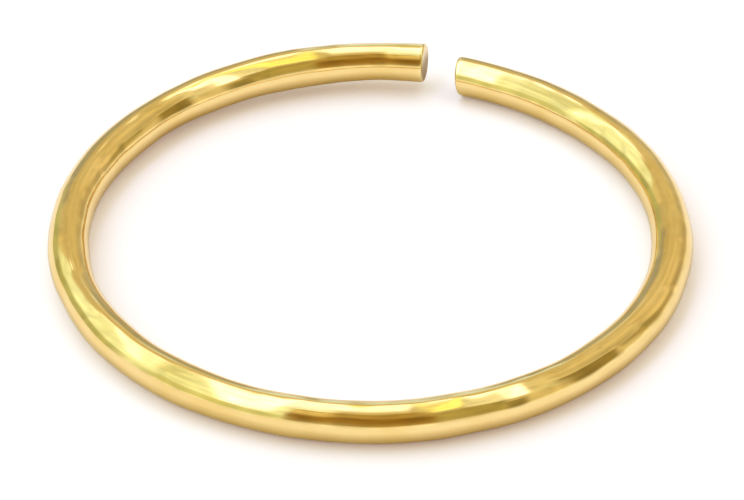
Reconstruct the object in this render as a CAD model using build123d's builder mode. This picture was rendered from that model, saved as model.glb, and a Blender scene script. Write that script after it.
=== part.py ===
from build123d import *
import math
import os

# Seamless nose ring: one length of round wire bent into an open circle, lying on its side.
# Millimetres, +Z up. The origin is the centre of the ring, level with the surface it lies on.
# Angles run round the ring in degrees, from +X towards +Y. The gap between the ends faces +Y.
# The wire lies flat from its slanted end, by way of +X and -Y, to -X. From there it is
# twisted a little out of the flat, as happens when such a ring is opened to put it in, so
# its square end stands just clear of the surface.

# Driving dimensions
outer_diameter = 10.0  # across the outside of the ring
wire_diameter = 0.65  # 22 gauge
slanted_end_angle = 71.75  # where the flat stretch ends, at the middle of its cut
square_end_angle = 78.8  # where the raised stretch ends
twist = 1.65  # the raised stretch leaves the flat by this much, in degrees
cut_lean = 8.0  # the slanted cut leans from upright by this much: longer on top
cut_turn = 4.0  # and is turned from straight across by this much: longer outside
rim_radius = 0.04  # rounding of the rims of both cuts

# Sizes that follow from them
wire_radius = wire_diameter / 2
ring_radius = outer_diameter / 2 - wire_radius  # to the middle of the wire
trim_arc = 2.0  # the wire starts this much too long, for the slanted cut to trim
flat_arc = 180 + slanted_end_angle + trim_arc
raised_arc = 180 - square_end_angle
trim_depth = 0.3  # what the slanted cut takes away, measured along the wire
trim_width = 1.5 * wire_diameter

# The raised stretch keeps the ring's radius, about an axis tipped over at -X
rise = math.sin(math.radians(twist))
level = math.cos(math.radians(twist))
raised_axis = Axis(
    (ring_radius * (level - 1), 0, wire_radius + ring_radius * rise),
    (-rise, 0, level),
)

# The plane of the slanted cut, facing the gap
outward = Vector(1, 0, 0).rotate(Axis.Z, slanted_end_angle)
toward_gap = Vector(0, 1, 0).rotate(Axis.Z, slanted_end_angle)
slanted_cut = Plane(
    origin=outward * ring_radius + Vector(0, 0, wire_radius),
    x_dir=outward,
    z_dir=toward_gap,
).rotated((-cut_lean, -cut_turn, 0))

with BuildPart() as hoop:
    # Section of the wire at -X, where both stretches start
    with BuildSketch(Plane.XZ) as section:
        with Locations((-ring_radius, wire_radius)):
            Circle(wire_radius)
    revolve(section.sketch, axis=Axis.Z, revolution_arc=flat_arc)
    revolve(section.sketch, axis=raised_axis, revolution_arc=-raised_arc)
    # Trim the flat end to its slanted cut
    with Locations(slanted_cut):
        Box(
            trim_width,
            trim_width,
            trim_depth,
            align=(Align.CENTER, Align.CENTER, Align.MIN),
            mode=Mode.SUBTRACT,
        )
    # Round the rims of both cuts, the only flat faces
    fillet(hoop.faces().filter_by(GeomType.PLANE).edges(), rim_radius)
hoop.part.label = "hoop"

os.makedirs("parts", exist_ok=True)
export_step(hoop.part, "parts/hoop.step")
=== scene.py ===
import math

import bmesh
import bpy
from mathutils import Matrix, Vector, noise


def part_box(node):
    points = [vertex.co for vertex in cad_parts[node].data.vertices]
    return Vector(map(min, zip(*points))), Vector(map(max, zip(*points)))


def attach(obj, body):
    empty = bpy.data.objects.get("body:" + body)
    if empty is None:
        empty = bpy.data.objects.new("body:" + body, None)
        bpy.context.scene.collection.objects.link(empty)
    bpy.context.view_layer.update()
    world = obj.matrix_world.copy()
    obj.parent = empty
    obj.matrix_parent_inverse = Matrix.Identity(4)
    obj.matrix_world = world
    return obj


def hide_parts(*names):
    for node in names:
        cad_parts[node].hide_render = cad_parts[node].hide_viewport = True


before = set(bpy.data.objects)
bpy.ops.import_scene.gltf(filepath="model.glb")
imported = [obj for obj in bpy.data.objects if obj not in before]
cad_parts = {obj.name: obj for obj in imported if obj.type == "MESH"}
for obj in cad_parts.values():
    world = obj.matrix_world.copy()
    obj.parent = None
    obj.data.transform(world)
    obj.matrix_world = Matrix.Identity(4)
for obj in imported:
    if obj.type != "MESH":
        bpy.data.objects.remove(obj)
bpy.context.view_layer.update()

# ---------------------------------------------------------------- sizes, in metres
MM = 0.001
LOW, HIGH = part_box("hoop")
OUTER_DIAMETER = round(HIGH.x - LOW.x, 4)
WIRE_RADIUS = 0.325 * MM
RING_RADIUS = OUTER_DIAMETER / 2 - WIRE_RADIUS  # to the middle of the wire
FLOOR_Z = 0.0

# Angles round the ring in degrees, from +X towards +Y, as in the CAD part
SLANTED_END = 71.75
SQUARE_END = 78.8
HINGE = 180.0  # where the raised stretch leaves the flat one
TWIST = math.radians(1.65)
CUT_LEAN = math.tan(math.radians(8.0))  # slanted end: longer on top
CUT_TURN = math.tan(math.radians(4.0))  # and longer outside
SLANT_FADE = 0.5 * MM  # the sections come square to the wire again over this much of it
RIM_RADIUS = 0.04 * MM

# Steps of the mesh
SECTIONS = 950  # along the wire
AROUND = 88  # points in each section
RIM_STEPS = 6  # over the rounding of a rim
FACE_RINGS = 9  # from the middle of a cut face to its rim

FLAT_ARC = HINGE + SLANTED_END
WHOLE_ARC = FLAT_ARC + HINGE - SQUARE_END
DEGREE = math.radians(1) * RING_RADIUS  # length of wire in one degree

# Unevenness of the hand-finished wire: depth and spacing
SLOW_DEPTH, SLOW_SPACING = 0.0225 * MM, 1.3 * MM
QUICK_DEPTH, QUICK_SPACING = 0.0060 * MM, 0.45 * MM
QUICK_APART = Vector((7, 3, 5))  # so that the quick noise has its own pattern
SUNK = 0.007 * MM  # the whole surface is drawn in this much, so no rise goes through the floor


# ---------------------------------------------------------------- the wire
def tipped(v):
    """A vector turned about Y by the twist, so that +X rises."""
    c, s = math.cos(TWIST), math.sin(TWIST)
    return Vector((v.x * c - v.z * s, v.y, v.x * s + v.z * c))


def wire_point(arc, across, height):
    """A point of the wire: degrees from the slanted end, then how far outside and above its middle."""
    angle = math.radians(SLANTED_END - arc)
    out = Vector((math.cos(angle), math.sin(angle), 0))
    point = out * (RING_RADIUS + across) + Vector((0, 0, WIRE_RADIUS + height))
    if arc > FLAT_ARC:
        hinge = Vector((-RING_RADIUS, 0, WIRE_RADIUS))
        point = tipped(point - hinge) + hinge
    return point


def unevenness(across, height, along):
    """How far the surface stands proud of round, at a place on the wire as it was before bending."""
    place = Vector((across, height, along))
    slow = noise.noise(place / SLOW_SPACING) * SLOW_DEPTH
    quick = noise.noise(place / QUICK_SPACING + QUICK_APART) * QUICK_DEPTH
    return slow + quick - SUNK


def end_shift(across, height):
    """How far along the wire the slanted face lies from square, in metres; less is nearer the gap."""
    return -(across * CUT_TURN + height * CUT_LEAN)


class WireMesh:
    """A mesh of loops, with each point's place on the straight wire kept for the materials."""

    def __init__(self, name):
        self.mesh = bpy.data.meshes.new(name)
        self.bm = bmesh.new()
        self.straight = self.bm.verts.layers.float_vector.new("straight_wire")

    def section(self, along, radius, slanted):
        """One loop of points across the wire. It leans by slanted: 1 is like the slanted face."""
        loop = []
        for k in range(AROUND):
            turn = 2 * math.pi * k / AROUND
            x, y = radius * math.cos(turn), radius * math.sin(turn)
            z = along + slanted * end_shift(x, y)
            grown = 1 + unevenness(x, y, z) / WIRE_RADIUS
            vert = self.bm.verts.new(wire_point(z / DEGREE, x * grown, y * grown))
            vert[self.straight] = Vector((x, y, z))
            loop.append(vert)
        return loop

    def middle(self, along):
        """A point in the middle of the wire, for a cap."""
        vert = self.bm.verts.new(wire_point(along / DEGREE, 0, 0))
        vert[self.straight] = Vector((0, 0, along))
        return vert

    def bridge(self, a, b):
        """Faces from one loop to the next."""
        for k in range(AROUND):
            n = (k + 1) % AROUND
            self.bm.faces.new((a[k], b[k], b[n], a[n])).smooth = True

    def cap(self, loop, vert, first):
        """Faces from a loop to a point in its middle; first is for the start of the wire."""
        for k in range(AROUND):
            n = (k + 1) % AROUND
            corners = (vert, loop[n], loop[k]) if first else (vert, loop[k], loop[n])
            self.bm.faces.new(corners).smooth = True

    def finish(self):
        bmesh.ops.recalc_face_normals(self.bm, faces=self.bm.faces)
        self.bm.to_mesh(self.mesh)
        self.bm.free()
        return self.mesh


def end_profile():
    """(distance in from the face, radius) from the middle of a cut face out over its rounded rim."""
    flat = WIRE_RADIUS - RIM_RADIUS
    face = [(0.0, flat * k / FACE_RINGS) for k in range(1, FACE_RINGS + 1)]
    rim = []
    for k in range(1, RIM_STEPS + 1):
        t = math.pi / 2 * k / RIM_STEPS
        rim.append((RIM_RADIUS * (1 - math.cos(t)), flat + RIM_RADIUS * math.sin(t)))
    return face + rim


def build_wire():
    """The whole wire, from the slanted end round to the square one, with both cut faces."""
    wire = WireMesh("ring_wire")
    length = WHOLE_ARC * DEGREE
    between_rims = length - 2 * RIM_RADIUS
    loops = [wire.section(d, r, 1.0) for d, r in end_profile()]
    for k in range(1, SECTIONS):
        along = RIM_RADIUS + between_rims * k / SECTIONS
        slanted = max(0.0, 1 - (along - RIM_RADIUS) / SLANT_FADE)
        loops.append(wire.section(along, WIRE_RADIUS, slanted))
    loops += [wire.section(length - d, r, 0.0) for d, r in reversed(end_profile())]
    for a, b in zip(loops, loops[1:]):
        wire.bridge(a, b)
    wire.cap(loops[0], wire.middle(0.0), True)
    wire.cap(loops[-1], wire.middle(length), False)
    return wire.finish()


# ---------------------------------------------------------------- node helpers
class Nodes:
    """Short ways to add and join the nodes of one tree."""

    def __init__(self, tree):
        self.tree = tree
        tree.nodes.clear()

    def add(self, kind, **settings):
        node = self.tree.nodes.new(kind)
        for key, value in settings.items():
            setattr(node, key, value)
        return node

    def plug(self, socket, value):
        if isinstance(value, bpy.types.NodeSocket):
            self.tree.links.new(value, socket)
        else:
            socket.default_value = value

    def math(self, operation, a, b=0.0, clamp=False):
        node = self.add("ShaderNodeMath", operation=operation, use_clamp=clamp)
        self.plug(node.inputs[0], a)
        self.plug(node.inputs[1], b)
        return node.outputs[0]

    def dot(self, vector, fixed):
        node = self.add("ShaderNodeVectorMath", operation="DOT_PRODUCT")
        self.plug(node.inputs[0], vector)
        node.inputs[1].default_value = fixed
        return node.outputs["Value"]

    def remap(self, value, low, high, to_low=0.0, to_high=1.0, kind="SMOOTHSTEP"):
        node = self.add("ShaderNodeMapRange", interpolation_type=kind)
        self.plug(node.inputs["Value"], value)
        node.inputs["From Min"].default_value = low
        node.inputs["From Max"].default_value = high
        node.inputs["To Min"].default_value = to_low
        node.inputs["To Max"].default_value = to_high
        return node.outputs["Result"]

    def mix(self, factor, a, b):
        node = self.add("ShaderNodeMix", data_type="RGBA")
        self.plug(node.inputs["Factor"], factor)
        self.plug(node.inputs["A"], (*a, 1) if isinstance(a, tuple) else a)
        self.plug(node.inputs["B"], (*b, 1) if isinstance(b, tuple) else b)
        return node.outputs["Result"]

    def noise(self, vector, scale, detail=2.0, roughness=0.5):
        node = self.add("ShaderNodeTexNoise")
        self.plug(node.inputs["Vector"], vector)
        node.inputs["Scale"].default_value = scale
        node.inputs["Detail"].default_value = detail
        node.inputs["Roughness"].default_value = roughness
        return node.outputs["Fac"]

    def scaled(self, vector, factors):
        node = self.add("ShaderNodeVectorMath", operation="MULTIPLY")
        self.plug(node.inputs[0], vector)
        node.inputs[1].default_value = factors
        return node.outputs[0]


# ---------------------------------------------------------------- gold
GOLD = (1.0, 0.74, 0.31)
GOLD_DEEP = (0.95, 0.68, 0.25)
GOLD_BRIGHT = (1.0, 0.78, 0.36)  # fresh metal on the worn rims
CUT_PAINTED_SHADE = (0.48, 0.32, 0.16)  # painted shade on the lower part of a cut face
CUT_PAINTED_REFLECTION = (1.00, 0.84, 0.56)  # painted reflection of the white floor on the upper part of a cut face

# What the place on the straight wire (across, up, along) is multiplied by before a noise
DRAWN = (1, 1, 0.04)  # lines along the wire, as drawing leaves it
SAWN = (0.08, 1, 1)  # lines across a cut face, as the cutter leaves it

# Noise, per mm
DRAWN_SCALE = 45
SAWN_SCALE = 26
HAZE_SCALE = 3.1
HANDLED_SCALE = 1.3

# Places, in mm
FACE_FULL, FACE_GONE = 0.045, 0.025  # in from the side of the wire, a cut face's own finish
WORN_FULL, WORN_GONE = 0.05, 0.14  # back from the end, the worn metal of its rim
WORN_RAGGED = 0.10
FACE_REFLECTION_FROM, FACE_REFLECTION_FULL = 0.18, 0.42  # up a cut face from its middle, with both of these added, where the painted shade gives way to the painted reflection
FACE_LINED, FACE_RAGGED = 0.12, 0.35

POLISHED, HAZY, LINED = 0.07, 0.11, 0.03  # roughness of the side, and what the lines add to it
TORN = (0.35, 0.55)  # roughness of a cut face
LINE_STRENGTH, LINE_DEPTH = 0.6, 0.0004 * MM
TORN_STRENGTH, TORN_DEPTH = 0.8, 0.004 * MM


def wire_places(n):
    """Where a point is on the straight wire, in mm: the place, off its middle, from the nearer end."""
    straight = n.add("ShaderNodeAttribute", attribute_name="straight_wire").outputs["Vector"]
    per_mm = n.scaled(straight, (1 / MM, 1 / MM, 1 / MM))
    section = n.add("ShaderNodeVectorMath", operation="LENGTH")
    n.plug(section.inputs[0], n.scaled(per_mm, (1, 1, 0)))
    along = n.dot(per_mm, (0, 0, 1))
    whole = WHOLE_ARC * DEGREE / MM
    from_end = n.math("MINIMUM", along, n.math("SUBTRACT", whole, along))
    return per_mm, section.outputs["Value"], from_end


def gold_colour(n, per_mm, from_end, cut, cut_lines, haze):
    """Deeper where it was handled, bright on the worn rims; on a cut face, painted shade on the lower
    part and a painted reflection of the floor on the upper part.
    """
    reach = n.math("ADD", from_end, n.math("MULTIPLY", haze, WORN_RAGGED))
    worn = n.remap(reach, WORN_FULL, WORN_GONE, 1.0, 0.0)
    handled = n.noise(per_mm, HANDLED_SCALE, 3)
    side = n.mix(n.remap(handled, 0.35, 0.7), GOLD, GOLD_DEEP)
    side = n.mix(worn, side, GOLD_BRIGHT)
    lined = n.math("MULTIPLY", cut_lines, FACE_LINED)
    ragged = n.math("ADD", lined, n.math("MULTIPLY", haze, FACE_RAGGED))
    height = n.math("ADD", n.dot(per_mm, (0, 1, 0)), ragged)
    # a cut face is coloured by height: painted shade below, a painted reflection of the floor above
    face = n.mix(n.remap(height, FACE_REFLECTION_FROM, FACE_REFLECTION_FULL), CUT_PAINTED_SHADE, CUT_PAINTED_REFLECTION)
    return n.mix(cut, side, face)


def gold_roughness(n, cut, lines, cut_lines, haze):
    """Polished with hazy patches and faint drawn lines; a cut face is torn."""
    hazy = n.remap(haze, 0.35, 0.75, POLISHED, HAZY)
    polish = n.math("ADD", hazy, n.math("MULTIPLY", lines, LINED))
    torn = n.remap(cut_lines, 0.3, 0.7, *TORN)
    rough = n.add("ShaderNodeMix", data_type="FLOAT")
    n.plug(rough.inputs[0], cut)
    n.plug(rough.inputs[2], polish)
    n.plug(rough.inputs[3], torn)
    return rough.outputs[0]


def gold_bump(n, cut, lines, cut_lines):
    """Drawn lines everywhere, and deeper torn ones on the cut faces."""
    fine = n.add("ShaderNodeBump")
    fine.inputs["Strength"].default_value = LINE_STRENGTH
    fine.inputs["Distance"].default_value = LINE_DEPTH
    n.plug(fine.inputs["Height"], lines)
    coarse = n.add("ShaderNodeBump")
    coarse.inputs["Distance"].default_value = TORN_DEPTH
    n.plug(coarse.inputs["Strength"], n.math("MULTIPLY", cut, TORN_STRENGTH))
    n.plug(coarse.inputs["Height"], cut_lines)
    n.plug(coarse.inputs["Normal"], fine.outputs[0])
    return coarse.outputs[0]


def gold_material():
    mat = bpy.data.materials.new("polished_gold")
    mat.use_nodes = True
    n = Nodes(mat.node_tree)
    out = n.add("ShaderNodeOutputMaterial")
    shader = n.add("ShaderNodeBsdfPrincipled")
    shader.inputs["Metallic"].default_value = 1.0
    n.plug(out.inputs["Surface"], shader.outputs[0])

    per_mm, off_middle, from_end = wire_places(n)
    radius = WIRE_RADIUS / MM
    cut = n.remap(off_middle, radius - FACE_FULL, radius - FACE_GONE, 1.0, 0.0)
    lines = n.noise(n.scaled(per_mm, DRAWN), DRAWN_SCALE, 2)
    cut_lines = n.noise(n.scaled(per_mm, SAWN), SAWN_SCALE, 3)
    haze = n.noise(per_mm, HAZE_SCALE, 4)
    n.plug(shader.inputs["Base Color"], gold_colour(n, per_mm, from_end, cut, cut_lines, haze))
    n.plug(shader.inputs["Roughness"], gold_roughness(n, cut, lines, cut_lines, haze))
    n.plug(shader.inputs["Normal"], gold_bump(n, cut, lines, cut_lines))
    return mat


# ---------------------------------------------------------------- studio
# The ring reflects a small studio, which is all in the world shader. A plan of the dome over the ring,
# with +X to the right and a radius of 1, says where a direction is. On it each lamp or hanging runs
# from one point to another and may widen. Its row holds: start, end, half width at the start, half
# width at the end, softness of its sides as a share of the half width, softness of its far end,
# colour. Later rows lie over earlier ones.
BACKDROP = (1.0, 1.0, 1.0)  # what the camera sees past the floor
ROOM = (0.67, 0.60, 0.38)  # the walls and ceiling, where nothing else is
PANELS = {
    "left_wall": ((-0.66, 0.705), (-0.66, -0.95), 0.55, 0.55, 0.20, 0.10, (0.97, 1.15, 0.98)),
    "left_curtain": ((-0.06, 0.76), (-0.62, 0.06), 0.015, 0.095, 0.7, 0.15, (0.80, 0.90, 0.68)),
    "right_patch": ((0.20, 0.73), (0.85, 0.50), 0.05, 0.12, 1.0, 0.20, (0.78, 0.68, 0.46)),
    "right_edge": ((0.07, 0.70), (0.74, -0.30), 0.015, 0.12, 0.5, 0.10, (0.76, 0.74, 0.54)),
    "between_lamps": ((0.03, 0.70), (0.46, -0.34), 0.03, 0.075, 0.5, 0.20, (0.84, 0.87, 0.70)),
    "back_light": ((-0.004, 0.765), (-0.04, 0.12), 0.016, 0.115, 0.3, 0.45, (1.60, 1.65, 1.90)),
    "yellow_lamp": ((0.030, 0.72), (0.258, -0.24), 0.016, 0.060, 0.3, 0.12, (1.35, 1.40, 0.55)),
    "front_right": ((0.36, -0.34), (0.50, -0.85), 0.15, 0.21, 0.4, 0.25, (0.42, 0.37, 0.14)),
    "front": ((-0.03, -0.16), (-0.06, -0.95), 0.20, 0.45, 0.20, 0.50, (0.44, 0.32, 0.11)),
    "front_deep": ((-0.05, -0.55), (-0.07, -0.95), 0.32, 0.42, 0.15, 0.40, (0.31, 0.19, 0.04)),
    "front_haze": ((-0.17, -0.22), (-0.25, -0.52), 0.06, 0.09, 1.2, 0.30, (0.80, 0.66, 0.32)),
    "window_side": ((-0.02, 0.73), (-0.19, -0.02), 0.018, 0.09, 0.4, 0.25, (1.45, 1.45, 1.75)),
    "window": ((-0.035, 0.72), (-0.590, -0.58), 0.020, 0.100, 0.2, 0.12, (2.20, 2.05, 2.60)),
    "left_tube": ((-0.16, 0.73), (-0.80, 0.09), 0.018, 0.040, 0.5, 0.22, (2.00, 1.85, 2.00)),
    "right_tube": ((0.074, 0.68), (0.565, -0.28), 0.012, 0.053, 0.4, 0.10, (2.30, 2.15, 2.50)),
    "right_corner": ((0.69, 0.10), (1.02, -0.25), 0.11, 0.14, 0.5, 0.10, (0.30, 0.24, 0.09)),
    "right_gap": ((0.61, -0.42), (0.76, -0.70), 0.06, 0.09, 0.6, 0.06, (0.28, 0.24, 0.09)),
}
NEAR_END_FROM, NEAR_END_FULL = -0.01, 0.03  # how a panel comes in at its start
THINNEST = 0.002

FOLDS_FROM = (0.0, 0.81)  # the folds of the hangings spread from this point of the plan
FOLDS = 0.26  # how much lighter or darker they are
FOLDS_ROUND, FOLDS_OUT = 15.0, 3.0  # how close together: per radian round that point, and away from it

# Low things round the table, in degrees. A row holds: azimuth, half width, softness, lowest, highest,
# softness, colour.
LOW_THINGS = {
    "paper_edge": (0, 200, 1, -40, 8, 14, (0.95, 0.97, 0.95)),
    "left_low": (-146, 26, 14, 8, 31, 10, (0.65, 0.72, 0.46)),
    "far_left_low": (150, 31, 10, -8, 21, 11, (0.50, 0.55, 0.32)),
    "right_low": (35, 23, 14, 9, 25, 10, (0.55, 0.48, 0.33)),
    "right_band": (19, 8, 6, 14, 32, 6, (0.40, 0.35, 0.17)),
    "back_low": (84, 22, 8, -8, 20, 10, (0.55, 0.53, 0.44)),
    "back_dark": (98, 20, 12, -8, 25, 10, (0.40, 0.41, 0.38)),
    "back_gleam": (90.3, 2.2, 3, -15, 30, 8, (0.80, 0.97, 1.18)),
    "paper_front": (-90, 36, 18, -40, 11, 14, (0.98, 0.97, 0.90)),
}


def within(n, value, middle, half, softness):
    """1 where a value is nearer than half to the middle, with a soft edge."""
    off = n.math("ABSOLUTE", n.math("SUBTRACT", value, middle))
    return n.remap(off, half - softness / 2, half + softness / 2, 1.0, 0.0)


def panel_mask(n, look, start, end, half_start, half_end, side_softness, end_softness):
    """1 where a direction meets the panel, as a row of PANELS gives it."""
    start, end = Vector((*start, 0)), Vector((*end, 0))
    middle, run = (start + end) / 2, (end - start).normalized()
    across = Vector((-run.y, run.x, 0))
    length = (end - start).length
    along = n.math("SUBTRACT", n.dot(look, run), middle.dot(run))
    widening = n.math("MULTIPLY", along, (half_end - half_start) / length)
    half = n.math("MAXIMUM", n.math("ADD", widening, (half_start + half_end) / 2), THINNEST)
    beside = n.math("ABSOLUTE", n.math("SUBTRACT", n.dot(look, across), middle.dot(across)))
    sides = within(n, n.math("DIVIDE", beside, half), 0.0, 1.0, side_softness)
    near_end = n.remap(along, NEAR_END_FROM - length / 2, NEAR_END_FULL - length / 2)
    far_end = n.remap(along, length / 2 - end_softness / 2, length / 2 + end_softness / 2, 1.0, 0.0)
    return n.math("MULTIPLY", sides, n.math("MULTIPLY", near_end, far_end))


def low_mask(n, look, height, azimuth, half, softness, lowest, highest, height_softness):
    """1 where a direction meets the low thing, as a row of LOW_THINGS gives it."""
    a = math.radians(azimuth)
    ahead = n.dot(look, (math.cos(a), math.sin(a), 0))
    aside = n.dot(look, (-math.sin(a), math.cos(a), 0))
    turn = n.math("ARCTAN2", aside, ahead)
    wide = within(n, turn, 0.0, math.radians(half), math.radians(softness))
    middle = math.radians((lowest + highest) / 2)
    half_height = math.radians((highest - lowest) / 2)
    high = within(n, height, middle, half_height, math.radians(height_softness))
    return n.math("MULTIPLY", wide, high)


def folds(n, look):
    """Light and dark folds in the hangings, spreading from one point of the plan: about 1."""
    x = n.math("SUBTRACT", n.dot(look, (1, 0, 0)), FOLDS_FROM[0])
    y = n.math("SUBTRACT", FOLDS_FROM[1], n.dot(look, (0, 1, 0)))
    turn = n.math("ARCTAN2", y, x)
    away = n.math("SQRT", n.math("ADD", n.math("MULTIPLY", x, x), n.math("MULTIPLY", y, y)))
    place = n.add("ShaderNodeCombineXYZ")
    n.plug(place.inputs["X"], n.math("MULTIPLY", turn, FOLDS_ROUND))
    n.plug(place.inputs["Y"], n.math("MULTIPLY", away, FOLDS_OUT))
    pattern = n.noise(place.outputs[0], 1.0, 1.0, 0.4)
    return n.remap(pattern, 0.25, 0.75, 1 - FOLDS, 1 + FOLDS, "LINEAR")


def studio():
    world = bpy.data.worlds.new("studio")
    bpy.context.scene.world = world
    world.use_nodes = True
    n = Nodes(world.node_tree)
    look = n.add("ShaderNodeTexCoord").outputs["Generated"]
    height = n.math("ARCSINE", n.dot(look, (0, 0, 1)))
    light = ROOM
    for *place, colour in PANELS.values():
        light = n.mix(panel_mask(n, look, *place), light, colour)
    for *place, colour in LOW_THINGS.values():
        light = n.mix(low_mask(n, look, height, *place), light, colour)
    folded = n.add("ShaderNodeVectorMath", operation="SCALE")
    n.plug(folded.inputs[0], light)
    n.plug(folded.inputs["Scale"], folds(n, look))
    camera_ray = n.add("ShaderNodeLightPath").outputs["Is Camera Ray"]
    background = n.add("ShaderNodeBackground")
    n.plug(background.inputs["Color"], n.mix(camera_ray, folded.outputs[0], BACKDROP))
    out = n.add("ShaderNodeOutputWorld")
    n.plug(out.inputs["Surface"], background.outputs[0])


# ---------------------------------------------------------------- floor
FLOOR_HALF = 1.5
FLOOR_COLOUR = (0.88, 0.88, 0.90)
FLOOR_SEEN = (1.20, 1.22, 1.36)  # white enough for the camera that only the ring's shadow shows
FLOOR_GLOW = (0.10, 0.09, 0.14)
MIRRORED_GLOW = (0.25, 0.26, 0.38)
GLOW_FROM, GLOW_FULL = 0.2 * MM, 1.2 * MM  # in the metal the glow keeps off the ring's shadow, so a band of floor under the wire is painted shade there


def away_from_wire(n):
    """0 on the floor under the wire, 1 well inside or outside the ring; it dims the floor's glow near the
    wire as painted shade.
    """
    place = n.add("ShaderNodeTexCoord").outputs["Object"]
    radius = n.add("ShaderNodeVectorMath", operation="LENGTH")
    n.plug(radius.inputs[0], place)
    off = n.math("ABSOLUTE", n.math("SUBTRACT", radius.outputs["Value"], RING_RADIUS))
    return n.remap(off, GLOW_FROM, GLOW_FULL)


def floor_material():
    """White paper: the camera and the metal see it glow a little, and it takes the ring's shadow; in the
    metal its glow is left out under the ring as painted shade.
    """
    mat = bpy.data.materials.new("white_floor")
    mat.use_nodes = True
    n = Nodes(mat.node_tree)
    diffuse = n.add("ShaderNodeBsdfDiffuse")
    glow = n.add("ShaderNodeEmission")
    path = n.add("ShaderNodeLightPath").outputs
    camera_ray = path["Is Camera Ray"]
    mirrored = n.math("ADD", path["Is Glossy Ray"], path["Is Transmission Ray"], clamp=True)
    n.plug(diffuse.inputs["Color"], n.mix(camera_ray, FLOOR_COLOUR, FLOOR_SEEN))
    n.plug(glow.inputs["Color"], n.mix(camera_ray, MIRRORED_GLOW, FLOOR_GLOW))
    # in the metal the floor's glow is dimmed under the ring: painted shade
    strength = n.math("ADD", camera_ray, n.math("MULTIPLY", mirrored, away_from_wire(n)))
    n.plug(glow.inputs["Strength"], strength)
    both = n.add("ShaderNodeAddShader")
    n.plug(both.inputs[0], diffuse.outputs[0])
    n.plug(both.inputs[1], glow.outputs[0])
    out = n.add("ShaderNodeOutputMaterial")
    n.plug(out.inputs["Surface"], both.outputs[0])
    return mat


def floor():
    corners = [(x * FLOOR_HALF, y * FLOOR_HALF, FLOOR_Z) for x, y in ((-1, -1), (1, -1), (1, 1), (-1, 1))]
    mesh = bpy.data.meshes.new("floor")
    mesh.from_pydata(corners, [], [(0, 1, 2, 3)])
    mesh.materials.append(floor_material())
    obj = bpy.data.objects.new("floor", mesh)
    bpy.context.scene.collection.objects.link(obj)


# ---------------------------------------------------------------- camera
CAMERA_ELEVATION = math.radians(36.05)
CAMERA_DISTANCE = 60.4 * MM
SENSOR_WIDTH, LENS = 36, 187.8  # in mm
SHIFT_X, SHIFT_Y = 0.0025, 0.0014
CLIP_START, CLIP_END = 1 * MM, 10


def camera():
    """Straight in front of the ring, with the gap on the far side, looking down at its middle."""
    back = Vector((0, -math.cos(CAMERA_ELEVATION), math.sin(CAMERA_ELEVATION)))
    data = bpy.data.cameras.new("camera")
    data.sensor_width = SENSOR_WIDTH
    data.lens = LENS
    data.shift_x = SHIFT_X
    data.shift_y = SHIFT_Y
    data.clip_start = CLIP_START
    data.clip_end = CLIP_END
    obj = bpy.data.objects.new("camera", data)
    obj.location = back * CAMERA_DISTANCE
    obj.rotation_euler = (math.pi / 2 - CAMERA_ELEVATION, 0, 0)
    bpy.context.scene.collection.objects.link(obj)
    bpy.context.scene.camera = obj


# ---------------------------------------------------------------- the scene
camera()
studio()
floor()

ring = bpy.data.objects.new("ring_wire", build_wire())
bpy.context.scene.collection.objects.link(ring)
ring.data.materials.append(gold_material())
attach(ring, "root")
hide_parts("hoop")

bpy.context.scene.view_settings.view_transform = "Standard"
